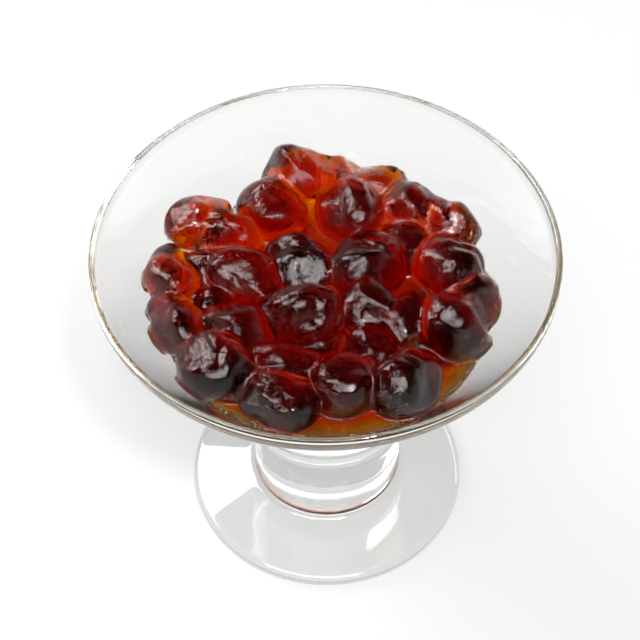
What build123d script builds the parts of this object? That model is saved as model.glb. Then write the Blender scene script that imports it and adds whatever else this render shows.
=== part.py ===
"""A footed dessert dish of clear glass, filled with large tapioca pearls in a dark sugar syrup.

Origin: centre of the foot's ring, on the table. +Z runs up the dish's axis, and the front is -Y.
The dish is one solid of revolution. The syrup fills its bowl up to a level, and the heap of pearls,
one solid with their uneven outline, stands on that level and runs out to the wall. Millimetres.
"""

from build123d import *
from math import cos, exp, hypot, log, pi, radians, sin, sqrt, tan
import os

os.makedirs("parts", exist_ok=True)

# ---- Dish -----------------------------------------------------------------------------------
rim_radius = 42.0
dish_height = 72.5
lip_thickness = 1.2
lip_band_height = 2.6  # the upright band under the lip
lip_band_round = 4.0

bowl_slope = 53.3  # of the inner wall above the bowl's round bottom, degrees
bowl_round_radius = 30.0
bowl_floor = 36.2  # height of the bowl's lowest inner point
outer_slope = 54.5  # a little steeper than inside, so the wall thickens downwards

stem_radius = 15.0
stem_blend = 8.0  # where the stem flows into the bowl
foot_radius = 28.2
foot_ring_radius = 25.6  # the ring the dish stands on
foot_hollow = 0.9  # how far the underside rises to the axis
foot_edge = 2.8  # thickness of the foot at its edge
foot_edge_round = 1.35
foot_top = 6.2  # height of the foot where it meets the stem
foot_blend = 1.8

# ---- Contents -------------------------------------------------------------------------------
syrup_level = 58.5
syrup_film = 0.5  # the syrup that clings above its level between the pearls
brow = 0.93  # the share of a pearl's half width out to which its dome is true
softness = 0.25  # how softly the pearls flow into one another
spokes = 64  # facets of the heap round the axis
rings = 18  # and from the axis to the wall
halvings = 24  # of the span in which the heap's edge is looked for

# The pearls that show: centre x, y, z, length, width, then the heading of the long axis and how
# far its far end is tilted up, in degrees. No two are the same.
pearls = [
    # against the back wall, the first one riding highest
    (-4.0, 26.5, 63.0, 14.5, 10.5, 0, -8),
    (3.0, 28.5, 60.0, 9.0, 8.0, 20, -2),
    (10.5, 26.0, 60.0, 11.0, 8.5, -15, 5),
    (-25.3, 16.3, 61.2, 12.5, 9.0, 40, -7),
    (24.0, 16.0, 59.5, 13.0, 9.5, -50, 0),
    # second row
    (-19.5, 13.5, 61.0, 14.5, 9.5, -10, 7),
    (-10.0, 19.0, 61.0, 14.0, 10.5, -30, -5),
    (5.0, 18.0, 62.0, 13.5, 11.0, -50, 2),
    (15.3, 19.5, 61.0, 13.0, 10.0, -25, 8),
    # middle
    (-29.6, 2.2, 61.2, 14.0, 9.0, 100, -3),
    (-22.5, 4.5, 60.0, 12.0, 9.0, 60, 3),
    (-14.5, 1.5, 62.0, 13.5, 10.5, -20, -8),
    (-20.5, -3.5, 59.0, 10.0, 9.0, 0, -2),
    (-4.8, 4.5, 62.0, 13.5, 10.0, -45, 5),
    (7.5, 4.5, 62.0, 14.0, 10.5, 30, -7),
    (15.0, 10.5, 59.0, 12.0, 10.0, -70, 0),
    (22.3, 4.0, 61.0, 13.0, 12.0, 35, 7),
    (28.3, -1.5, 58.8, 12.5, 8.5, 85, 4),
    # in front of the middle
    (-27.8, -8.8, 60.8, 13.5, 9.0, 110, -5),
    (-15.8, -11.0, 61.5, 12.5, 11.5, -30, 2),
    (-3.8, -7.2, 62.3, 16.0, 10.0, 12, 8),
    (7.8, -5.0, 61.0, 12.5, 10.0, -60, -3),
    (14.5, -7.5, 59.5, 12.0, 9.5, 80, 3),
    (23.3, -9.0, 59.8, 14.0, 11.5, -20, -8),
    # along the front wall
    (-20.5, -20.0, 60.3, 13.5, 11.5, -20, -2),
    (-7.2, -18.5, 60.8, 12.0, 9.5, 0, 5),
    (3.5, -21.3, 60.7, 12.0, 11.5, 20, -7),
    (8.5, -13.5, 59.5, 9.5, 8.0, 0, 0),
    (14.0, -22.3, 60.5, 13.0, 11.5, 45, 7),
    (-9.0, -27.0, 59.6, 13.0, 10.0, -10, -5),
]


def down_slope(start, slope, run):
    """The point that lies run further in than start on a wall that falls inwards at slope degrees."""
    return (start[0] - run, start[1] - run * tan(radians(slope)))


# The inner wall is a ball's bottom up to where the ball is as steep as the wall, then a straight
# flank, then the upright lip.
ball_centre = bowl_floor + bowl_round_radius
flank_foot = (
    bowl_round_radius * sin(radians(bowl_slope)),
    ball_centre - bowl_round_radius * cos(radians(bowl_slope)),
)
half_way = radians(bowl_slope / 2)
bowl_arc_middle = (
    bowl_round_radius * sin(half_way),
    ball_centre - bowl_round_radius * cos(half_way),
)
lip_inner_radius = rim_radius - lip_thickness
lip_shoulder = dish_height - lip_thickness / 2  # where the lip's round top starts
flank_top = down_slope(flank_foot, bowl_slope, flank_foot[0] - lip_inner_radius)

# The outer wall leaves the upright band and falls to the stem.
band_foot = (rim_radius, dish_height - lip_band_height)
stem_top = down_slope(band_foot, outer_slope, rim_radius - stem_radius)


def bowl_inside(rounding):
    """The inner wall's line, from the axis up to the lip's inner edge, with a soft turn at the lip."""
    bottom = ThreePointArc((0, bowl_floor), bowl_arc_middle, flank_foot)
    flank = FilletPolyline(
        [flank_foot, flank_top, (lip_inner_radius, lip_shoulder)], radius=rounding
    )
    return bottom, flank


# ---- The dish -------------------------------------------------------------------------------
with BuildPart() as glass_dish:
    with BuildSketch(Plane.XZ):
        with BuildLine():
            underside = ThreePointArc(
                (0, foot_hollow),
                (foot_ring_radius / 2, foot_hollow * 0.75),
                (foot_ring_radius, 0),
            )
            outside = FilletPolyline(
                [
                    underside @ 1,
                    (foot_radius, 0),
                    (foot_radius, foot_edge),
                    (stem_radius, foot_top),
                    stem_top,
                    band_foot,
                    (rim_radius, lip_shoulder),
                ],
                radius=[
                    foot_edge_round,
                    foot_edge_round,
                    foot_blend,
                    stem_blend,
                    lip_band_round,
                ],
            )
            ThreePointArc(
                outside @ 1,
                (rim_radius - lip_thickness / 2, dish_height),
                (lip_inner_radius, lip_shoulder),
            )
            bowl_inside(lip_band_round - lip_thickness)
            Line((0, bowl_floor), (0, foot_hollow))
        make_face()
    revolve(axis=Axis.Z)
glass_dish.part.label = "glass_dish"
export_step(glass_dish.part, "parts/glass_dish.step")

# ---- The room inside the bowl, which bounds the contents --------------------------------------
with BuildPart() as bowl_room:
    with BuildSketch(Plane.XZ):
        with BuildLine():
            bowl_inside(lip_band_round - lip_thickness)
            Line((lip_inner_radius, lip_shoulder), (0, lip_shoulder))
            Line((0, lip_shoulder), (0, bowl_floor))
        make_face()
    revolve(axis=Axis.Z)

# ---- The heap of pearls -----------------------------------------------------------------------
def pearl_top(pearl, x, y):
    """The height of one pearl's upper side over (x, y): half an egg, then a steep fall past its brow."""
    centre_x, centre_y, centre_z, length, width, heading, tilt = pearl
    east, north = x - centre_x, y - centre_y
    along = east * cos(radians(heading)) + north * sin(radians(heading))
    across = north * cos(radians(heading)) - east * sin(radians(heading))
    off_centre = hypot(along / (length / 2), across / (width / 2))
    inside = min(off_centre, brow)
    dome = sqrt(1 - inside**2) - (off_centre - inside) * brow / sqrt(1 - brow**2)
    return centre_z + width / 2 * dome + along * sin(radians(tilt))


def heap_top(x, y):
    """The height of the heap over (x, y): the highest pearl or the syrup, with softened valleys."""
    heights = [syrup_level + syrup_film] + [pearl_top(pearl, x, y) for pearl in pearls]
    highest = max(heights)
    return highest + softness * log(sum(exp((h - highest) / softness) for h in heights))


def wall_radius(z):
    """The bowl's inner radius at the height z, on its straight flank."""
    return flank_foot[0] + (z - flank_foot[1]) / tan(radians(bowl_slope))


def edge_radius(turn):
    """How far out the heap reaches in the direction turn: where its top runs into the wall."""
    inner, outer = wall_radius(syrup_level), lip_inner_radius
    for _ in range(halvings):
        middle = (inner + outer) / 2
        top = heap_top(middle * cos(turn), middle * sin(turn))
        if wall_radius(top) > middle:
            inner = middle
        else:
            outer = middle
    return inner


def heap_point(ring, spoke):
    """A corner of the heap's top: ring 0 is the axis, and the last ring lies on the wall."""
    turn = 2 * pi * spoke / spokes
    radius = edge_radius(turn) * ring / rings
    x, y = radius * cos(turn), radius * sin(turn)
    return Vector(x, y, heap_top(x, y))


def facet(*corners):
    """A flat face through its corners."""
    return Face(Wire.make_polygon(corners, close=True))


corners = [[heap_point(ring, spoke) for spoke in range(spokes)] for ring in range(rings + 1)]
level_ring = [
    Vector(wall_radius(syrup_level), 0, syrup_level).rotate(Axis.Z, 360 * spoke / spokes)
    for spoke in range(spokes)
]
corners.append(level_ring)
facets = [facet(*level_ring)]
for spoke in range(spokes):
    following = (spoke + 1) % spokes
    facets.append(facet(corners[0][0], corners[1][spoke], corners[1][following]))
    for inner, outer in zip(corners[1:], corners[2:]):
        facets.append(facet(inner[spoke], outer[spoke], outer[following]))
        facets.append(facet(inner[spoke], outer[following], inner[following]))

with BuildPart() as pearl_heap:
    add(Solid(Shell(facets)))
pearl_heap.part.label = "pearl_heap"
export_step(pearl_heap.part, "parts/pearl_heap.step")

# ---- The syrup --------------------------------------------------------------------------------
with BuildPart() as syrup:
    add(bowl_room.part)
    split(bisect_by=Plane.XY.offset(syrup_level), keep=Keep.BOTTOM)
syrup.part.label = "syrup"
export_step(syrup.part, "parts/syrup.step")
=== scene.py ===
"""A footed dessert dish of clear glass, filled with large tapioca pearls in a dark sugar syrup.

The dish is turned from one profile. The syrup fills its bowl and clings to every pearl as a thin
glossy coat. The pearls lie in it, each an uneven egg with soft folds, pressed flat where it meets the
next. Lengths are written in millimetres times mm, because Blender's unit is the metre.
"""

from math import cos, pi, radians, sin, tan

import bpy
import numpy as np
from mathutils import Matrix, Vector


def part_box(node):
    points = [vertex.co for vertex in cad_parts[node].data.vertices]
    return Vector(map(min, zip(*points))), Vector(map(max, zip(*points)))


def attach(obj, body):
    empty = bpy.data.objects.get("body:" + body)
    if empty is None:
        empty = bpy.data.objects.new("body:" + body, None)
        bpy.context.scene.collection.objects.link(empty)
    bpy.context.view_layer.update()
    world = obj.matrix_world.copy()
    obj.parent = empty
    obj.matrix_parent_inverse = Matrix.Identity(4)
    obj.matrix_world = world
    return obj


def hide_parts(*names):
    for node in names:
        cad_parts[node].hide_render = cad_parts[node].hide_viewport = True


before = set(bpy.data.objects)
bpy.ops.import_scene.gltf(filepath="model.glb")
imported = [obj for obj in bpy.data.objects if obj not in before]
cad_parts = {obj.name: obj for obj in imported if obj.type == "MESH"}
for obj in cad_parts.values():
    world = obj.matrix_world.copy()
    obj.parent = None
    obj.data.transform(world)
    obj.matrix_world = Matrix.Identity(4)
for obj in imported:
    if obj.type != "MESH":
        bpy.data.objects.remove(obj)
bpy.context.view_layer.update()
mm = 0.001

# ---- The dish's sizes --------------------------------------------------------------------------
_, dish_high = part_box("glass_dish")
rim_radius = dish_high.x
dish_height = dish_high.z
lip_thickness = 1.2 * mm
lip_band_height = 2.6 * mm  # the upright band under the lip
lip_band_round = 4.0 * mm
bowl_slope = 53.3  # of the straight inner wall, degrees
bowl_round_radius = 30.0 * mm
bowl_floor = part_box("syrup")[0].z
outer_slope = 54.5  # of the straight outer wall, degrees
stem_radius = 15.0 * mm
stem_blend = 8.0 * mm  # where the stem flows into the bowl
foot_radius = 28.2 * mm
foot_ring_radius = 25.6 * mm  # the ring the dish stands on
foot_hollow = 0.9 * mm  # how far the underside rises to the axis
foot_edge = 2.8 * mm  # thickness of the foot at its edge
foot_edge_round = 1.35 * mm
foot_top = 6.2 * mm  # height of the foot where it meets the stem
foot_blend = 1.8 * mm
dish_spokes = 256
dish_spacing = 0.8 * mm  # of the points along the dish's profile

# ---- The contents' sizes -----------------------------------------------------------------------
syrup_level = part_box("syrup")[1].z
syrup_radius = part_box("syrup")[1].x
film = 0.28 * mm  # the syrup that clings to the pearls
creep = 0.5 * mm  # how far the syrup climbs where it wets the glass
creep_reach = 1.2 * mm  # how far from the glass it starts to climb
bite = 0.15 * mm  # how far the syrup reaches into the glass, so that no air gap shows
softness = 0.38 * mm  # how softly the coat runs from one pearl to the next
coat_range = 3 * mm  # from a pearl, within which its coat is worked out
cell = 0.45 * mm  # of the grid on which the coat's surface is looked for
grid_half_width = 36.9 * mm
grid_bottom, grid_top = 35.0 * mm, 70.6 * mm
fillet = 1.3 * mm  # radius of the syrup that fills the corner between a pearl and the glass
feather = 0.2 * mm  # thickness at which that filling ends
side_drop = 3.2 * mm  # how far the syrup stands lower along the walls, all round but in front
side_reach = 7.0 * mm  # how far from the walls it starts to do so

# The pearls that show: centre x, y, z, length, width, then the heading of the long axis and how far
# its far end is tilted up, in degrees. No two are the same.
top_pearls = [
    # against the back wall, the first one riding highest
    (-4.0, 26.5, 63.0, 14.5, 10.5, 0, -8),
    (3.0, 28.5, 60.0, 9.0, 8.0, 20, -2),
    (10.5, 26.0, 60.0, 11.0, 8.5, -15, 5),
    (-25.3, 16.3, 61.2, 12.5, 9.0, 40, -7),
    (24.0, 16.0, 59.5, 13.0, 9.5, -50, 0),
    # second row
    (-19.5, 13.5, 61.0, 14.5, 9.5, -10, 7),
    (-10.0, 19.0, 61.0, 14.0, 10.5, -30, -5),
    (5.0, 18.0, 62.0, 13.5, 11.0, -50, 2),
    (15.3, 19.5, 61.0, 13.0, 10.0, -25, 8),
    # middle
    (-29.6, 2.2, 61.2, 14.0, 9.0, 100, -3),
    (-22.5, 4.5, 60.0, 12.0, 9.0, 60, 3),
    (-14.5, 1.5, 62.0, 13.5, 10.5, -20, -8),
    (-20.5, -3.5, 59.0, 10.0, 9.0, 0, -2),
    (-4.8, 4.5, 62.0, 13.5, 10.0, -45, 5),
    (7.5, 4.5, 62.0, 14.0, 10.5, 30, -7),
    (15.0, 10.5, 59.0, 12.0, 10.0, -70, 0),
    (22.3, 4.0, 61.0, 13.0, 12.0, 35, 7),
    (28.3, -1.5, 58.8, 12.5, 8.5, 85, 4),
    # in front of the middle
    (-27.8, -8.8, 60.8, 13.5, 9.0, 110, -5),
    (-15.8, -11.0, 61.5, 12.5, 11.5, -30, 2),
    (-3.8, -7.2, 62.3, 16.0, 10.0, 12, 8),
    (7.8, -5.0, 61.0, 12.5, 10.0, -60, -3),
    (14.5, -7.5, 59.5, 12.0, 9.5, 80, 3),
    (23.3, -9.0, 59.8, 14.0, 11.5, -20, -8),
    # along the front wall
    (-20.5, -20.0, 60.3, 13.5, 11.5, -20, -2),
    (-7.2, -18.5, 60.8, 12.0, 9.5, 0, 5),
    (3.5, -21.3, 60.7, 12.0, 11.5, 20, -7),
    (8.5, -13.5, 59.5, 9.5, 8.0, 0, 0),
    (14.0, -22.3, 60.5, 13.0, 11.5, 45, 7),
    (-9.0, -27.0, 59.6, 13.0, 10.0, -10, -5),
]

# The rings of pearls under them: ring radius, height, how many, and the turn of the first in
# degrees. Each pearl is then shifted, sized and tilted a little by chance.
sunk_rings = [
    (6.3, 42.8, 3, 20),
    (14.3, 46.8, 7, 0),
    (0.6, 50.2, 1, 0),
    (20.6, 52.6, 11, 10),
    (10.4, 53.6, 5, 40),
]
sunk_length, sunk_width = 12.2, 10.6
sunk_shift = 0.8  # the most along each axis
sunk_sizes = (0.9, 1.1)  # the least and most share of the length and the width
sunk_tilt = 25  # the most either way, degrees
swell = 1.07  # by which the pearls on top are fuller than their outline, so that they press together

# ---- The pearls' forms -------------------------------------------------------------------------
height_share = 0.95  # of an egg's height in its width
most_taper = 0.13  # of an egg's width along its length
lump_count, lump_height = 7, 0.03  # the height as a share of the pearl's radius
lump_waves_range = (2.0, 6.5)  # radians of a lump's wave along a unit vector
fold_count = 8
fold_depth_range = (0.03, 0.12)  # shares of the pearl's radius
fold_width_range = (0.07, 0.18)  # along a unit vector
fold_fade = 0.5  # square of the distance from its spot over which a fold fades
flat_count = 4
flat_share_range = (0.77, 0.93)  # of the egg's reach at which a flat lies
flat_turn = 0.3 * mm  # how softly a flat is met
flat_rise = 0.8  # added upwards to the direction in which a flat looks
grazing = 0.05  # the least a direction counts as facing a plane
pearl_gap = 0.12 * mm  # of syrup between two pearls that press on each other
press_turn = 0.25 * mm  # how softly a pressed side is met
press_range = 17 * mm  # between the centres of pearls that can press on each other
least_reach = 0.5 * mm  # of a pressed pearl's surface from its centre
lean = 0.25 * mm  # how far a pearl's coat flattens on the glass
heart_share, core_share = 0.88, 0.68  # of a heart in its pearl, and of a core in its heart
painted_light_shrink = 0.5  # how much smaller the hearts are at the wall, at the back and the left: painted light, which makes those pearls lighter where the lamps shine through
heart_chance = 0.05  # by which a heart is larger or smaller at most

chance = np.random.default_rng(11)


# ---- Profiles and turned shapes ----------------------------------------------------------------
def arc(centre, radius, start, end, steps):
    """Points on a circle: the centre plus radius times the cosine and sine of an angle that runs from
    start to end."""
    turn = np.radians(np.linspace(start, end, steps + 1))
    return np.stack([centre[0] + radius * np.cos(turn), centre[1] + radius * np.sin(turn)], 1)


def rounded_line(corners, radii, steps=12):
    """Straight runs through corners, with an arc at each inner corner that touches both of its runs.

    The arc starts radius times the tangent of half the turn before the corner. Its points turn evenly
    from there about the centre, which lies on the corner's bisector."""
    corners = np.array(corners, float)
    line = [corners[:1]]
    share = np.linspace(0, 1, steps + 1)[:, None]
    for before, corner, after, radius in zip(corners, corners[1:], corners[2:], radii):
        back = (before - corner) / np.linalg.norm(before - corner)
        onward = (after - corner) / np.linalg.norm(after - corner)
        turn = pi - np.arccos(back @ onward)
        bisector = (back + onward) / np.linalg.norm(back + onward)
        centre = corner + bisector * radius / cos(turn / 2)
        first = corner + back * radius * tan(turn / 2) - centre
        last = corner + onward * radius * tan(turn / 2) - centre
        between = first * np.sin((1 - share) * turn) + last * np.sin(share * turn)
        line.append(centre + between / sin(turn))
    return np.concatenate(line + [corners[-1:]])


def spaced(line, longest):
    """The line with more points on its long runs, so that none is longer than longest."""
    steps = np.linalg.norm(np.diff(line, axis=0), axis=1)
    parts = np.maximum(np.ceil(steps / longest), 1).astype(int)
    run = np.repeat(np.arange(len(parts)), parts)
    share = (np.arange(len(run)) - np.repeat(np.cumsum(parts) - parts, parts)) / parts[run]
    between = line[run] + (line[run + 1] - line[run]) * share[:, None]
    return np.concatenate([between, line[-1:]])


def capped_grid(rows, columns):
    """Faces over rows of vertices that close into rings, with one vertex before and one after them.

    The four corners of a face are two neighbours of one ring and the two beside them in the next ring,
    and each end is a fan round its single vertex."""
    ring = np.arange(columns)
    following = (ring + 1) % columns
    low = 1 + columns * np.arange(rows - 1)[:, None]
    high = low + columns
    quads = np.stack([low + ring, low + following, high + following, high + ring], -1)
    first = np.stack([np.zeros_like(ring), 1 + following, 1 + ring], -1)
    top = 1 + columns * (rows - 1)
    last = np.stack([np.full_like(ring, 1 + rows * columns), top + ring, top + following], -1)
    return first.tolist() + quads.reshape(-1, 4).tolist() + last.tolist()


def turned(profile, spokes):
    """A turned surface: each point (radius, height) of the profile goes round the axis at even angles.

    The profile starts and ends on the axis, where a single vertex closes it."""
    turn = 2 * pi * np.arange(spokes) / spokes
    radius, height = profile[1:-1, 0, None], profile[1:-1, 1, None]
    rings = np.stack([radius * np.cos(turn), radius * np.sin(turn), height + 0 * turn], -1)
    ends = [[[0, 0, profile[0, 1]]], [[0, 0, profile[-1, 1]]]]
    points = np.concatenate([ends[0], rings.reshape(-1, 3), ends[1]])
    return points, capped_grid(len(profile) - 2, spokes)


def new_piece(name, points, faces, material, slot, *nodes):
    """A smooth mesh at the origin, riding on the part's body and standing for the CAD nodes named."""
    mesh = bpy.data.meshes.new(name)
    mesh.from_pydata(points.tolist(), [], faces)
    mesh.shade_smooth()
    mesh.materials.append(material)
    piece = bpy.data.objects.new(name, mesh)
    bpy.context.scene.collection.objects.link(piece)
    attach(piece, "root")
    if nodes:
        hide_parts(*nodes)


# ---- The dish ----------------------------------------------------------------------------------
ball_centre = bowl_floor + bowl_round_radius
flank_foot = (
    bowl_round_radius * sin(radians(bowl_slope)),
    ball_centre - bowl_round_radius * cos(radians(bowl_slope)),
)
lip_inner_radius = rim_radius - lip_thickness
lip_shoulder = dish_height - lip_thickness / 2
flank_top = (
    lip_inner_radius,
    flank_foot[1] + (lip_inner_radius - flank_foot[0]) * tan(radians(bowl_slope)),
)


def dish_profile():
    """The dish's half section: its hollow underside, the foot, the stem, the flared wall with its
    upright lip band, and back down the inside to the bowl's round bottom."""
    radius = np.linspace(0, foot_ring_radius, 34)
    underside = np.stack([radius, foot_hollow * (1 - (radius / foot_ring_radius) ** 2)], 1)
    band_foot = (rim_radius, dish_height - lip_band_height)
    stem_top = (stem_radius, band_foot[1] - (rim_radius - stem_radius) * tan(radians(outer_slope)))
    outside = rounded_line(
        [
            (foot_ring_radius, 0),
            (foot_radius, 0),
            (foot_radius, foot_edge),
            (stem_radius, foot_top),
            stem_top,
            band_foot,
            (rim_radius, lip_shoulder),
        ],
        [foot_edge_round, foot_edge_round, foot_blend, stem_blend, lip_band_round],
    )
    lip = arc((rim_radius - lip_thickness / 2, lip_shoulder), lip_thickness / 2, 0, 180, steps=16)
    inside = rounded_line(
        [(lip_inner_radius, lip_shoulder), flank_top, flank_foot],
        [lip_band_round - lip_thickness],
    )
    bottom = arc((0, ball_centre), bowl_round_radius, bowl_slope - 90, -90, steps=40)
    line = np.concatenate([underside[:-1], outside, lip[1:], inside[1:], bottom[1:]])
    line[-1, 0] = 0
    return spaced(line, dish_spacing)


# ---- The bowl's inside -------------------------------------------------------------------------
def bowl_wall(points):
    """How far each point lies beyond the bowl's inner wall, below zero inside, and the wall's normal,
    which looks outwards.

    Within bowl_slope degrees of straight down from the ball's centre it is the distance from that
    centre less the ball's radius, and above that it is the distance from the straight flank."""
    radius = np.hypot(points[:, 0], points[:, 1])
    drop = ball_centre - points[:, 2]
    slope = radians(bowl_slope)
    reach = np.maximum(np.hypot(radius, drop), mm)
    on_ball = np.arctan2(radius, drop) < slope
    flank = (radius - flank_foot[0]) * sin(slope) - (points[:, 2] - flank_foot[1]) * cos(slope)
    beyond = np.where(on_ball, reach - bowl_round_radius, flank)
    out = np.where(on_ball, radius / reach, sin(slope))
    down = np.where(on_ball, drop / reach, cos(slope))
    flat = points[:, :2] / np.maximum(radius, 1e-9)[:, None]
    return beyond, np.concatenate([flat * out[:, None], -down[:, None]], 1)


# ---- The pearls --------------------------------------------------------------------------------
def all_pearls():
    """One row for each pearl, in metres and degrees: those on top, then the sunk ones."""
    sunk = []
    for ring_radius, height, count, first in sunk_rings:
        for number in range(count):
            turn = radians(first + 360 * number / count)
            shift = chance.uniform(-sunk_shift, sunk_shift, 3)
            size = chance.uniform(*sunk_sizes, 2)
            heading, tilt = chance.uniform(0, 180), chance.uniform(-sunk_tilt, sunk_tilt)
            place = (ring_radius * cos(turn), ring_radius * sin(turn), height) + shift
            sunk.append((*place, sunk_length * size[0], sunk_width * size[1], heading, tilt))
    rows = np.array(top_pearls + sunk, float)
    rows[: len(top_pearls), 3:5] *= swell
    rows[:, :5] *= mm
    return rows


pearls = all_pearls()


def pearl_axes(heading, tilt):
    """A pearl's long, side and upper axes, as the columns of a matrix."""
    heading, tilt = radians(heading), radians(tilt)
    along = np.array([cos(heading) * cos(tilt), sin(heading) * cos(tilt), sin(tilt)])
    side = np.array([-sin(heading), cos(heading), 0])
    return np.stack([along, side, np.cross(along, side)], 1)


axes = [pearl_axes(heading, tilt) for heading, tilt in pearls[:, 5:]]


def directions(count):
    """Unit vectors spread by chance, one for each of count."""
    vectors = chance.normal(size=(count, 3))
    return vectors / np.linalg.norm(vectors, axis=1, keepdims=True)


tapers = chance.uniform(-most_taper, most_taper, len(pearls))
lump_ways = [directions(lump_count) for _ in pearls]
lump_waves = chance.uniform(*lump_waves_range, (len(pearls), lump_count))
lump_starts = chance.uniform(0, 2 * pi, (len(pearls), lump_count))
fold_ways = [directions(fold_count) for _ in pearls]
fold_spots = [directions(fold_count) for _ in pearls]
fold_depths = chance.uniform(*fold_depth_range, (len(pearls), fold_count))
fold_widths = chance.uniform(*fold_width_range, (len(pearls), fold_count))
flat_ways = [directions(flat_count) + [0, 0, flat_rise] for _ in pearls]
flat_ways = [ways / np.linalg.norm(ways, axis=1, keepdims=True) for ways in flat_ways]
flat_shares = chance.uniform(*flat_share_range, (len(pearls), flat_count))


def egg_reach(number, own):
    """How far the egg of pearl number reaches along unit vectors on its own axes: an ellipsoid whose
    width tapers along it."""
    length, width = pearls[number, 3:5]
    half_width = width / 2 * (1 + tapers[number] * own[:, 0])
    along = own[:, 0] / (length / 2)
    across = own[:, 1] / half_width
    upwards = own[:, 2] / (half_width * height_share)
    return 1 / np.sqrt(along**2 + across**2 + upwards**2)


def pearl_reach(number, ways):
    """How far pearl number's surface lies from its centre along each of the unit vectors ways.

    It is an egg with a few flats, each the plane across its own direction at a share of the egg's
    reach there, met with a soft turn. That is times one plus a sum of sine waves for the lumps, less a
    groove of Gaussian section for each fold. A fold runs in a circle about its own axis and fades with
    the distance from its own spot."""
    own = ways @ axes[number]
    flats = egg_reach(number, flat_ways[number]) * flat_shares[number]
    facing = np.maximum(own @ flat_ways[number].T, grazing)
    egg = np.exp(-egg_reach(number, own) / flat_turn) + np.exp(-flats / facing / flat_turn).sum(1)
    egg = -flat_turn * np.log(egg)
    lumps = np.sin(own @ lump_ways[number].T * lump_waves[number] + lump_starts[number]).sum(1)
    spots = fold_spots[number]
    circle = (spots * fold_ways[number]).sum(1)
    across = (own @ fold_ways[number].T - circle) / fold_widths[number]
    far = ((own[:, None, :] - spots) ** 2).sum(2)
    folds = (fold_depths[number] * np.exp(-(across**2) - far / fold_fade)).sum(1)
    return egg * (1 + lump_height * lumps - folds)


def rest_on_glass():
    """Moves each pearl that would reach into the glass back along the wall's normal until it only leans
    on it. The normal turns as the pearl moves, so this takes a few rounds."""
    for _ in range(3):
        beyond, normal = bowl_wall(pearls[:, :3])
        reach = [pearl_reach(number, way[None])[0] for number, way in enumerate(normal)]
        deep = np.maximum(beyond + np.array(reach) + film - lean, 0)
        pearls[:, :3] -= normal * deep[:, None]


rest_on_glass()
centres = pearls[:, :3]


def pearl_surface(number, rows, columns):
    """The points of one pearl: its reach in each direction of a grid of rows and columns about its long
    axis, held back where a neighbour or the glass presses on it.

    A neighbour presses with the plane that parts the two pearls where their surfaces would meet, and
    the nearer of the surface and the plane is taken, with a soft turn."""
    polar = pi * np.arange(1, rows + 1)[:, None] / (rows + 1)
    turn = 2 * pi * np.arange(columns) / columns
    out = np.sin(polar)
    ring = np.stack([-np.cos(polar) + 0 * turn, out * np.cos(turn), out * np.sin(turn)], -1)
    own = np.concatenate([[[-1, 0, 0]], ring.reshape(-1, 3), [[1, 0, 0]]])
    ways = own @ axes[number].T
    reach = pearl_reach(number, ways)
    for other in range(len(pearls)):
        apart = centres[other] - centres[number]
        distance = np.linalg.norm(apart)
        if other == number or distance > press_range:
            continue
        towards = (apart / distance)[None]
        mine, theirs = pearl_reach(number, towards)[0], pearl_reach(other, -towards)[0]
        if mine + theirs + pearl_gap < distance:
            continue
        plane = distance * mine / (mine + theirs) - pearl_gap / 2
        facing = np.maximum(ways @ towards[0], grazing)
        reach = -press_turn * np.logaddexp(-reach / press_turn, -plane / facing / press_turn)
    points = centres[number] + ways * np.maximum(reach, least_reach)[:, None]
    beyond, normal = bowl_wall(points)
    return points - normal * np.maximum(beyond + pearl_gap, 0)[:, None]


def pearl_meshes(numbers, rows, columns, shares=None):
    """The points and faces of those pearls together, each shrunk about its centre to its share."""
    points, faces, start = [], [], 0
    for number in numbers:
        outer = pearl_surface(number, rows, columns)
        share = 1 if shares is None else shares[number]
        points.append(centres[number] + (outer - centres[number]) * share)
        faces += [[start + corner for corner in face] for face in capped_grid(rows, columns)]
        start += len(points[-1])
    return np.concatenate(points), faces


# ---- The syrup and its coat --------------------------------------------------------------------
def syrup_depth(points):
    """Below zero inside the syrup: the softened union of its level and the pearls with their film,
    cut off just inside the glass.

    The level creeps up where it meets the glass. It also stands lower along the walls: by side_drop,
    eased in over side_reach with a smooth step, times one less the square of the cosine of the turn
    from the front. Where the coat meets the glass, the corner is filled out to a fillet that touches
    both."""
    beyond, _ = bowl_wall(points)
    forwards = np.minimum(points[:, 1], 0) ** 2
    sideways = 1 - forwards / np.maximum(points[:, 0] ** 2 + points[:, 1] ** 2, 1e-9)
    outer = np.clip(1 + beyond / side_reach, 0, 1)
    level = syrup_level + film + creep * np.exp(np.minimum(beyond, 0) / creep_reach)
    level = level - side_drop * sideways * outer**2 * (3 - 2 * outer)
    total = np.exp(-(points[:, 2] - level) / softness)
    for number in range(len(pearls)):
        apart = points - centres[number]
        near = np.flatnonzero((np.abs(apart) < pearls[number, 3] / 2 + coat_range).all(1))
        distance = np.maximum(np.linalg.norm(apart[near], axis=1), 0.1 * mm)
        reach = pearl_reach(number, apart[near] / distance[:, None])
        total[near] += np.exp(-(distance - reach - film) / softness)
    coat = -softness * np.log(total)
    inner = np.maximum(fillet + np.minimum(beyond, 0), 0)
    corner = fillet + feather - np.hypot(np.maximum(fillet - coat, 0), inner)
    return np.maximum(np.minimum(coat, corner), beyond - bite)


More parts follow.
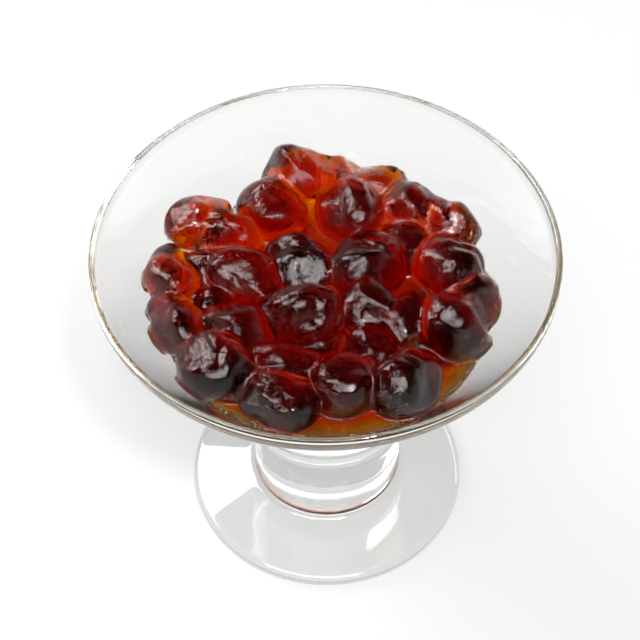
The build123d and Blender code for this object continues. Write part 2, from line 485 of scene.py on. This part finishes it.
def level_surface(depth, low, step):
    """The surface on which depth, given on a grid, is zero, as points and four-cornered faces.

    A grid cell that the surface passes through gets one point, the mean of the places where depth is
    zero on the cell's edges. A grid edge that the surface crosses gives the face between its four
    cells, turned so that it looks out."""
    inside = depth < 0
    cells = np.array(depth.shape) - 1
    total = np.zeros((*cells, 3))
    count = np.zeros(cells)

    def corner(field, offset):
        """The field at the corner of every cell that lies offset steps from its lowest one."""
        return field[tuple(slice(o, o + n) for o, n in zip(offset, cells))]

    for axis in range(3):
        second, third = (axis + 1) % 3, (axis + 2) % 3
        for u in (0, 1):
            for v in (0, 1):
                start = [0, 0, 0]
                start[second], start[third] = u, v
                end = list(start)
                end[axis] = 1
                one, two = corner(depth, start), corner(depth, end)
                crossed = corner(inside, start) != corner(inside, end)
                total[..., axis] += np.where(crossed, one / np.where(crossed, one - two, 1), 0)
                total[..., second] += crossed * u
                total[..., third] += crossed * v
                count += crossed
    where = np.argwhere(count > 0)
    index = np.full(cells, -1)
    index[tuple(where.T)] = np.arange(len(where))
    points = low + step * (where + total[tuple(where.T)] / count[tuple(where.T)][:, None])
    faces = []
    for axis in range(3):
        second, third = (axis + 1) % 3, (axis + 2) % 3
        crossed = np.argwhere(np.diff(inside, axis=axis))
        goes_in = ~inside[tuple(crossed.T)]
        around = []
        for u, v in ((-1, -1), (0, -1), (0, 0), (-1, 0)):
            place = crossed.copy()
            place[:, second] += u
            place[:, third] += v
            around.append(index[tuple(place.T)])
        around = np.stack(around, 1)
        around[goes_in] = around[goes_in, ::-1]
        faces += around.tolist()
    return points, faces


def syrup_surface():
    """The syrup's points and faces: the zero surface of syrup_depth on a grid, each point then moved
    along the slope of syrup_depth, twice, until it lies on the true surface."""
    low = np.array([-grid_half_width, -grid_half_width, grid_bottom])
    high = np.array([grid_half_width, grid_half_width, grid_top])
    counts = np.ceil((high - low) / cell).astype(int)
    lines = [low[axis] + cell * np.arange(counts[axis]) for axis in range(3)]
    grid = np.stack(np.meshgrid(*lines, indexing="ij"), -1).reshape(-1, 3)
    depth = np.full(len(grid), cell)
    beyond, _ = bowl_wall(grid)
    near = beyond < 3 * cell
    depth[near] = syrup_depth(grid[near])
    points, faces = level_surface(depth.reshape(counts), low, cell)
    probe, least_steepness = 0.05 * mm, 0.25
    for _ in range(2):
        here = syrup_depth(points)
        slope = np.stack([syrup_depth(points + probe * way) - here for way in np.eye(3)], 1) / probe
        steep = np.maximum((slope**2).sum(1), least_steepness)
        points -= slope * np.clip(here / steep, -cell / 2, cell / 2)[:, None]
    return points, faces


# ---- Materials ---------------------------------------------------------------------------------
def feed(tree, socket, value):
    """Sets a socket to a value, or links it from another socket."""
    if isinstance(value, bpy.types.NodeSocket):
        tree.links.new(value, socket)
    else:
        socket.default_value = value


def value_node(tree, kind, **inputs):
    """A shader node of that kind with its sockets fed by name, an underscore for each space."""
    node = tree.nodes.new(kind)
    for name, value in inputs.items():
        feed(tree, node.inputs[name.replace("_", " ")], value)
    return node


def worked_out(tree, operation, *values):
    """The result of a math node that does that operation on the values."""
    node = tree.nodes.new("ShaderNodeMath")
    node.operation = operation
    for socket, value in zip(node.inputs, values):
        feed(tree, socket, value)
    return node.outputs[0]


def mixed(tree, share, first, second):
    """The mix of two shader nodes in which the second has that share."""
    node = tree.nodes.new("ShaderNodeMixShader")
    for socket, value in zip(node.inputs, (share, first.outputs[0], second.outputs[0])):
        feed(tree, socket, value)
    return node


def ripple_group():
    """Soft unevenness of a wet or pressed surface: broad waves and fine wrinkles added together."""
    group = bpy.data.node_groups.new("surface_ripple", "ShaderNodeTree")
    for name, default in (("Wave size", 300.0), ("Wrinkle size", 900.0), ("Wrinkle share", 0.3)):
        socket = group.interface.new_socket(name, in_out="INPUT", socket_type="NodeSocketFloat")
        socket.default_value = default
    group.interface.new_socket("Height", in_out="OUTPUT", socket_type="NodeSocketFloat")
    given = group.nodes.new("NodeGroupInput").outputs
    result = group.nodes.new("NodeGroupOutput")
    place = group.nodes.new("ShaderNodeTexCoord").outputs["Object"]
    waves = value_node(
        group, "ShaderNodeTexNoise", Vector=place, Scale=given["Wave size"], Detail=1.0
    ).outputs["Fac"]
    wrinkles = value_node(
        group,
        "ShaderNodeTexNoise",
        Vector=place,
        Scale=given["Wrinkle size"],
        Detail=2.0,
        Distortion=1.2,
    ).outputs["Fac"]
    folded = worked_out(group, "PINGPONG", wrinkles, 0.5)
    both = worked_out(group, "MULTIPLY_ADD", folded, given["Wrinkle share"], waves)
    feed(group, result.inputs["Height"], both)
    return group


surface_ripple = ripple_group()


def new_material(name):
    """An empty node material: its tree and its output node."""
    material = bpy.data.materials.new(name)
    material.use_nodes = True
    material.node_tree.nodes.clear()
    return material, material.node_tree, material.node_tree.nodes.new("ShaderNodeOutputMaterial")


def rippled_normal(tree, wave_size, wrinkle_size, wrinkle_share, height):
    """The normal of a surface with the ripple group's unevenness, height metres deep."""
    ripple = tree.nodes.new("ShaderNodeGroup")
    ripple.node_tree = surface_ripple
    ripple.inputs["Wave size"].default_value = wave_size
    ripple.inputs["Wrinkle size"].default_value = wrinkle_size
    ripple.inputs["Wrinkle share"].default_value = wrinkle_share
    bump = value_node(
        tree, "ShaderNodeBump", Height=ripple.outputs["Height"], Strength=1.0, Distance=height
    )
    return bump.outputs["Normal"]


def absorbing(tree, output, red, green, blue):
    """Makes the inside swallow light, which falls off exponentially with the distance in metres times
    red, green or blue. Blender takes density times one less the colour."""
    volume = tree.nodes.new("ShaderNodeVolumeAbsorption")
    volume.inputs["Color"].default_value = (1 - red / blue, 1 - green / blue, 0, 1)
    volume.inputs["Density"].default_value = blue
    tree.links.new(volume.outputs["Volume"], output.inputs["Volume"])


def clear_glass():
    """Clear pressed glass, greener in the lip, along which light runs a long way. Lamps shine through
    it, less where they meet it at a slant, so that its edges and steep walls throw a shadow."""
    material, tree, output = new_material("clear_glass")
    normal = rippled_normal(
        tree, wave_size=90.0, wrinkle_size=400.0, wrinkle_share=0.1, height=0.02 * mm
    )
    place = tree.nodes.new("ShaderNodeTexCoord").outputs["Object"]
    parts = value_node(tree, "ShaderNodeSeparateXYZ", Vector=place)
    rise = value_node(
        tree,
        "ShaderNodeMapRange",
        Value=parts.outputs["Z"],
        From_Min=dish_height - lip_thickness,
        From_Max=dish_height - lip_thickness / 2,
    )
    tint = value_node(tree, "ShaderNodeValToRGB", Fac=rise.outputs["Result"])
    tint.color_ramp.elements[0].color = (0.965, 0.985, 0.971, 1)
    tint.color_ramp.elements[1].color = (0.9, 0.98, 0.94, 1)
    glass = value_node(
        tree,
        "ShaderNodeBsdfPrincipled",
        Base_Color=tint.outputs["Color"],
        Roughness=0.04,
        IOR=1.5,
        Transmission_Weight=1.0,
        Normal=normal,
    )
    level = value_node(tree, "ShaderNodeBsdfTransparent", Color=(0.94, 0.94, 0.935, 1))
    steep = value_node(tree, "ShaderNodeBsdfTransparent", Color=(0.15, 0.14, 0.135, 1))
    slant = value_node(tree, "ShaderNodeLayerWeight", Blend=0.5)
    through = mixed(tree, slant.outputs["Facing"], level, steep)
    path = tree.nodes.new("ShaderNodeLightPath")
    mix = mixed(tree, path.outputs["Is Shadow Ray"], glass, through)
    feed(tree, output.inputs["Surface"], mix.outputs[0])
    return material


def clear_surface(tree, output, roughness, ior, normal):
    """Joins a clear, colourless surface to the output. Its colour comes from what lies inside."""
    surface = value_node(
        tree,
        "ShaderNodeBsdfPrincipled",
        Base_Color=(1, 1, 1, 1),
        Roughness=roughness,
        IOR=ior,
        Transmission_Weight=1.0,
        Normal=normal,
    )
    feed(tree, output.inputs["Surface"], surface.outputs[0])


def amber_syrup():
    """Dark sugar syrup: glossy, with the wrinkles of the pearls that it coats."""
    material, tree, output = new_material("amber_syrup")
    normal = rippled_normal(
        tree, wave_size=360.0, wrinkle_size=900.0, wrinkle_share=0.45, height=0.36 * mm
    )
    clear_surface(tree, output, roughness=0.05, ior=1.42, normal=normal)
    absorbing(tree, output, red=42, green=240, blue=870)
    return material


def tapioca_jelly(name, red, green, blue):
    """Cooked tapioca, soaked in syrup: it hardly bends light more than the syrup does. What it swallows
    adds to what the syrup around it does."""
    material, tree, output = new_material(name)
    normal = rippled_normal(
        tree, wave_size=300.0, wrinkle_size=900.0, wrinkle_share=0.3, height=0.1 * mm
    )
    clear_surface(tree, output, roughness=0.0, ior=1.03, normal=normal)
    absorbing(tree, output, red, green, blue)
    return material


# ---- The pieces --------------------------------------------------------------------------------
new_piece("dish", *turned(dish_profile(), dish_spokes), clear_glass(), "clear_glass", "glass_dish")
new_piece("syrup_coat", *syrup_surface(), amber_syrup(), "amber_syrup", "syrup")
every_pearl = range(len(pearls))
showing, sunk = every_pearl[: len(top_pearls)], every_pearl[len(top_pearls) :]
jelly = tapioca_jelly("tapioca_jelly", 9, 84, 310)
new_piece("tapioca_pearls", *pearl_meshes(showing, 32, 64), jelly, "tapioca_jelly", "pearl_heap")
new_piece("sunk_pearls", *pearl_meshes(sunk, 20, 36), jelly, "tapioca_jelly")

# A pearl is darker inwards, in a heart and in that heart's core: partly the tapioca's own denser
# middle, partly painted shade that darkens the middle of the heap. The hearts are smaller near the wall
# at the back and the left, which is painted light: it makes those pearls lighter where the lamps shine
# through them.
east, north = centres[:, 0] / syrup_radius, centres[:, 1] / syrup_radius
# Painted light: how far each pearl lies towards the back and the left, where its heart is made smaller
# so that the pearl shows lighter.
painted_light_side = np.clip(0.5 + north - east / 2, 0, 1)
heart_shares_with_painted_light = heart_share - painted_light_shrink * np.hypot(east, north) ** 3 * painted_light_side
heart_shares_with_painted_light = heart_shares_with_painted_light + chance.uniform(-heart_chance, heart_chance, len(pearls))
hearts = pearl_meshes(every_pearl, 18, 32, heart_shares_with_painted_light)
cores = pearl_meshes(every_pearl, 16, 28, heart_shares_with_painted_light * core_share)
new_piece("pearl_hearts", *hearts, tapioca_jelly("tapioca_heart", 48, 205, 880), "tapioca_jelly")
new_piece("pearl_cores", *cores, tapioca_jelly("tapioca_core", 110, 300, 1300), "tapioca_jelly")


# ---- The room: a pale floor, a white surround, three lamps and the camera ------------------------
floor_white = 0.99
floor_own_share = 0.5  # of what is seen of the floor that is its own light
floor_half_width = 3.0
surround_white = 0.97
surround_top, ceiling_start = 4, 18  # heights in degrees between which white turns dark
ceiling_grey = 0.03
ceiling_through_glass = 0.7
camera_lens = 87.2
camera_rise, camera_roll = 51.31, -0.76  # degrees
camera_distance = 291.1  # millimetres
camera_target = (-1.09 * mm, 0, 51.37 * mm)


def floor_material():
    """A white table. Part of its light is its own, which keeps it white and its shadows pale."""
    material, tree, output = new_material("white_table")
    paint = value_node(tree, "ShaderNodeBsdfDiffuse", Color=(0.56, 0.55, 0.553, 1))
    glow = value_node(tree, "ShaderNodeEmission", Color=(1, 1, 1, 1), Strength=floor_white)
    path = tree.nodes.new("ShaderNodeLightPath")
    seen = path.outputs["Is Camera Ray"]
    for kind in ("Is Glossy Ray", "Is Transmission Ray"):
        seen = worked_out(tree, "MAXIMUM", seen, path.outputs[kind])
    mix = mixed(tree, worked_out(tree, "MULTIPLY", seen, floor_own_share), paint, glow)
    feed(tree, output.inputs["Surface"], mix.outputs[0])
    return material


def make_floor():
    """A flat square table top that the dish stands on."""
    half = floor_half_width
    corners = [(-half, -half, 0), (half, -half, 0), (half, half, 0), (-half, half, 0)]
    mesh = bpy.data.meshes.new("table_top")
    mesh.from_pydata(corners, [], [(0, 1, 2, 3)])
    mesh.materials.append(floor_material())
    floor = bpy.data.objects.new("table_top", mesh)
    bpy.context.scene.collection.objects.link(floor)


def make_surround():
    """A white surround up to a low height and a dark ceiling above it, which light that comes through
    glass sees paler. The camera sees plain white everywhere."""
    world = bpy.data.worlds.new("white_surround")
    bpy.context.scene.world = world
    world.use_nodes = True
    tree = world.node_tree
    tree.nodes.clear()
    output = tree.nodes.new("ShaderNodeOutputWorld")
    way = tree.nodes.new("ShaderNodeTexCoord").outputs["Generated"]
    parts = value_node(tree, "ShaderNodeSeparateXYZ", Vector=way)
    path = tree.nodes.new("ShaderNodeLightPath")
    through = path.outputs["Is Transmission Ray"]
    paler = ceiling_through_glass - ceiling_grey
    shade = value_node(
        tree,
        "ShaderNodeMapRange",
        Value=parts.outputs["Z"],
        From_Min=sin(radians(surround_top)),
        From_Max=sin(radians(ceiling_start)),
        To_Min=surround_white,
        To_Max=worked_out(tree, "MULTIPLY_ADD", through, paler, ceiling_grey),
    )
    shade.interpolation_type = "SMOOTHSTEP"
    white = (1, 1, 1, 1)
    around = value_node(tree, "ShaderNodeBackground", Color=white, Strength=shade.outputs["Result"])
    plain = value_node(tree, "ShaderNodeBackground", Color=white, Strength=surround_white)
    mix = mixed(tree, path.outputs["Is Camera Ray"], around, plain)
    feed(tree, output.inputs["Surface"], mix.outputs[0])


def make_lamp(name, azimuth, elevation, distance, width, height, radiance, shape="RECTANGLE"):
    """A flat lamp that looks at the heap. Its power is its radiance times pi times its area."""
    light = bpy.data.lights.new(name, "AREA")
    light.shape = shape
    light.size, light.size_y = width, height
    area = width * height * (pi / 4 if shape == "ELLIPSE" else 1)
    light.energy = radiance * pi * area
    lamp = bpy.data.objects.new(name, light)
    turn, rise = radians(azimuth), radians(elevation)
    back = Vector((sin(turn) * cos(rise), -cos(turn) * cos(rise), sin(rise)))
    lamp.location = Vector((0, 0, syrup_level)) + back * distance
    lamp.rotation_euler = (-back).to_track_quat("-Z", "Y").to_euler()
    bpy.context.scene.collection.objects.link(lamp)


def make_camera():
    """The camera looks down on the dish, aimed at a point on its axis, and is rolled a little."""
    camera = bpy.data.objects.new("camera", bpy.data.cameras.new("camera"))
    camera.data.sensor_width = 36.0
    camera.data.lens = camera_lens
    camera.data.clip_start = 0.01
    rise = radians(camera_rise)
    back = Vector((0, -cos(rise), sin(rise)))
    roll = Matrix.Rotation(radians(camera_roll), 3, "Z")
    turn = (-back).to_track_quat("-Z", "Y").to_matrix() @ roll
    place = Vector(camera_target) + back * camera_distance * mm
    camera.matrix_world = Matrix.Translation(place) @ turn.to_4x4()
    bpy.context.scene.collection.objects.link(camera)
    bpy.context.scene.camera = camera


make_floor()
make_surround()
# Each lamp's turn from the front and height in degrees, then distance, width and height in metres.
make_lamp("soft_lamp", -18, 58, 1.7, 1.35, 1.0, 7.5)
make_lamp("side_lamp", -125, 42, 1.9, 1.0, 0.9, 10.0)
make_lamp("hard_lamp", 22, 58, 1.9, 0.19, 0.19, 320.0, "ELLIPSE")
make_camera()
bpy.context.scene.view_settings.view_transform = "Standard"
# Light crosses many walls of glass, syrup and jelly on its way through the dish. What reaches the floor
# through the glass comes as the glass's soft shadow, so caustics would count it twice.
cycles = bpy.context.scene.cycles
cycles.max_bounces = cycles.transmission_bounces = cycles.glossy_bounces = 32
cycles.caustics_refractive = cycles.caustics_reflective = False
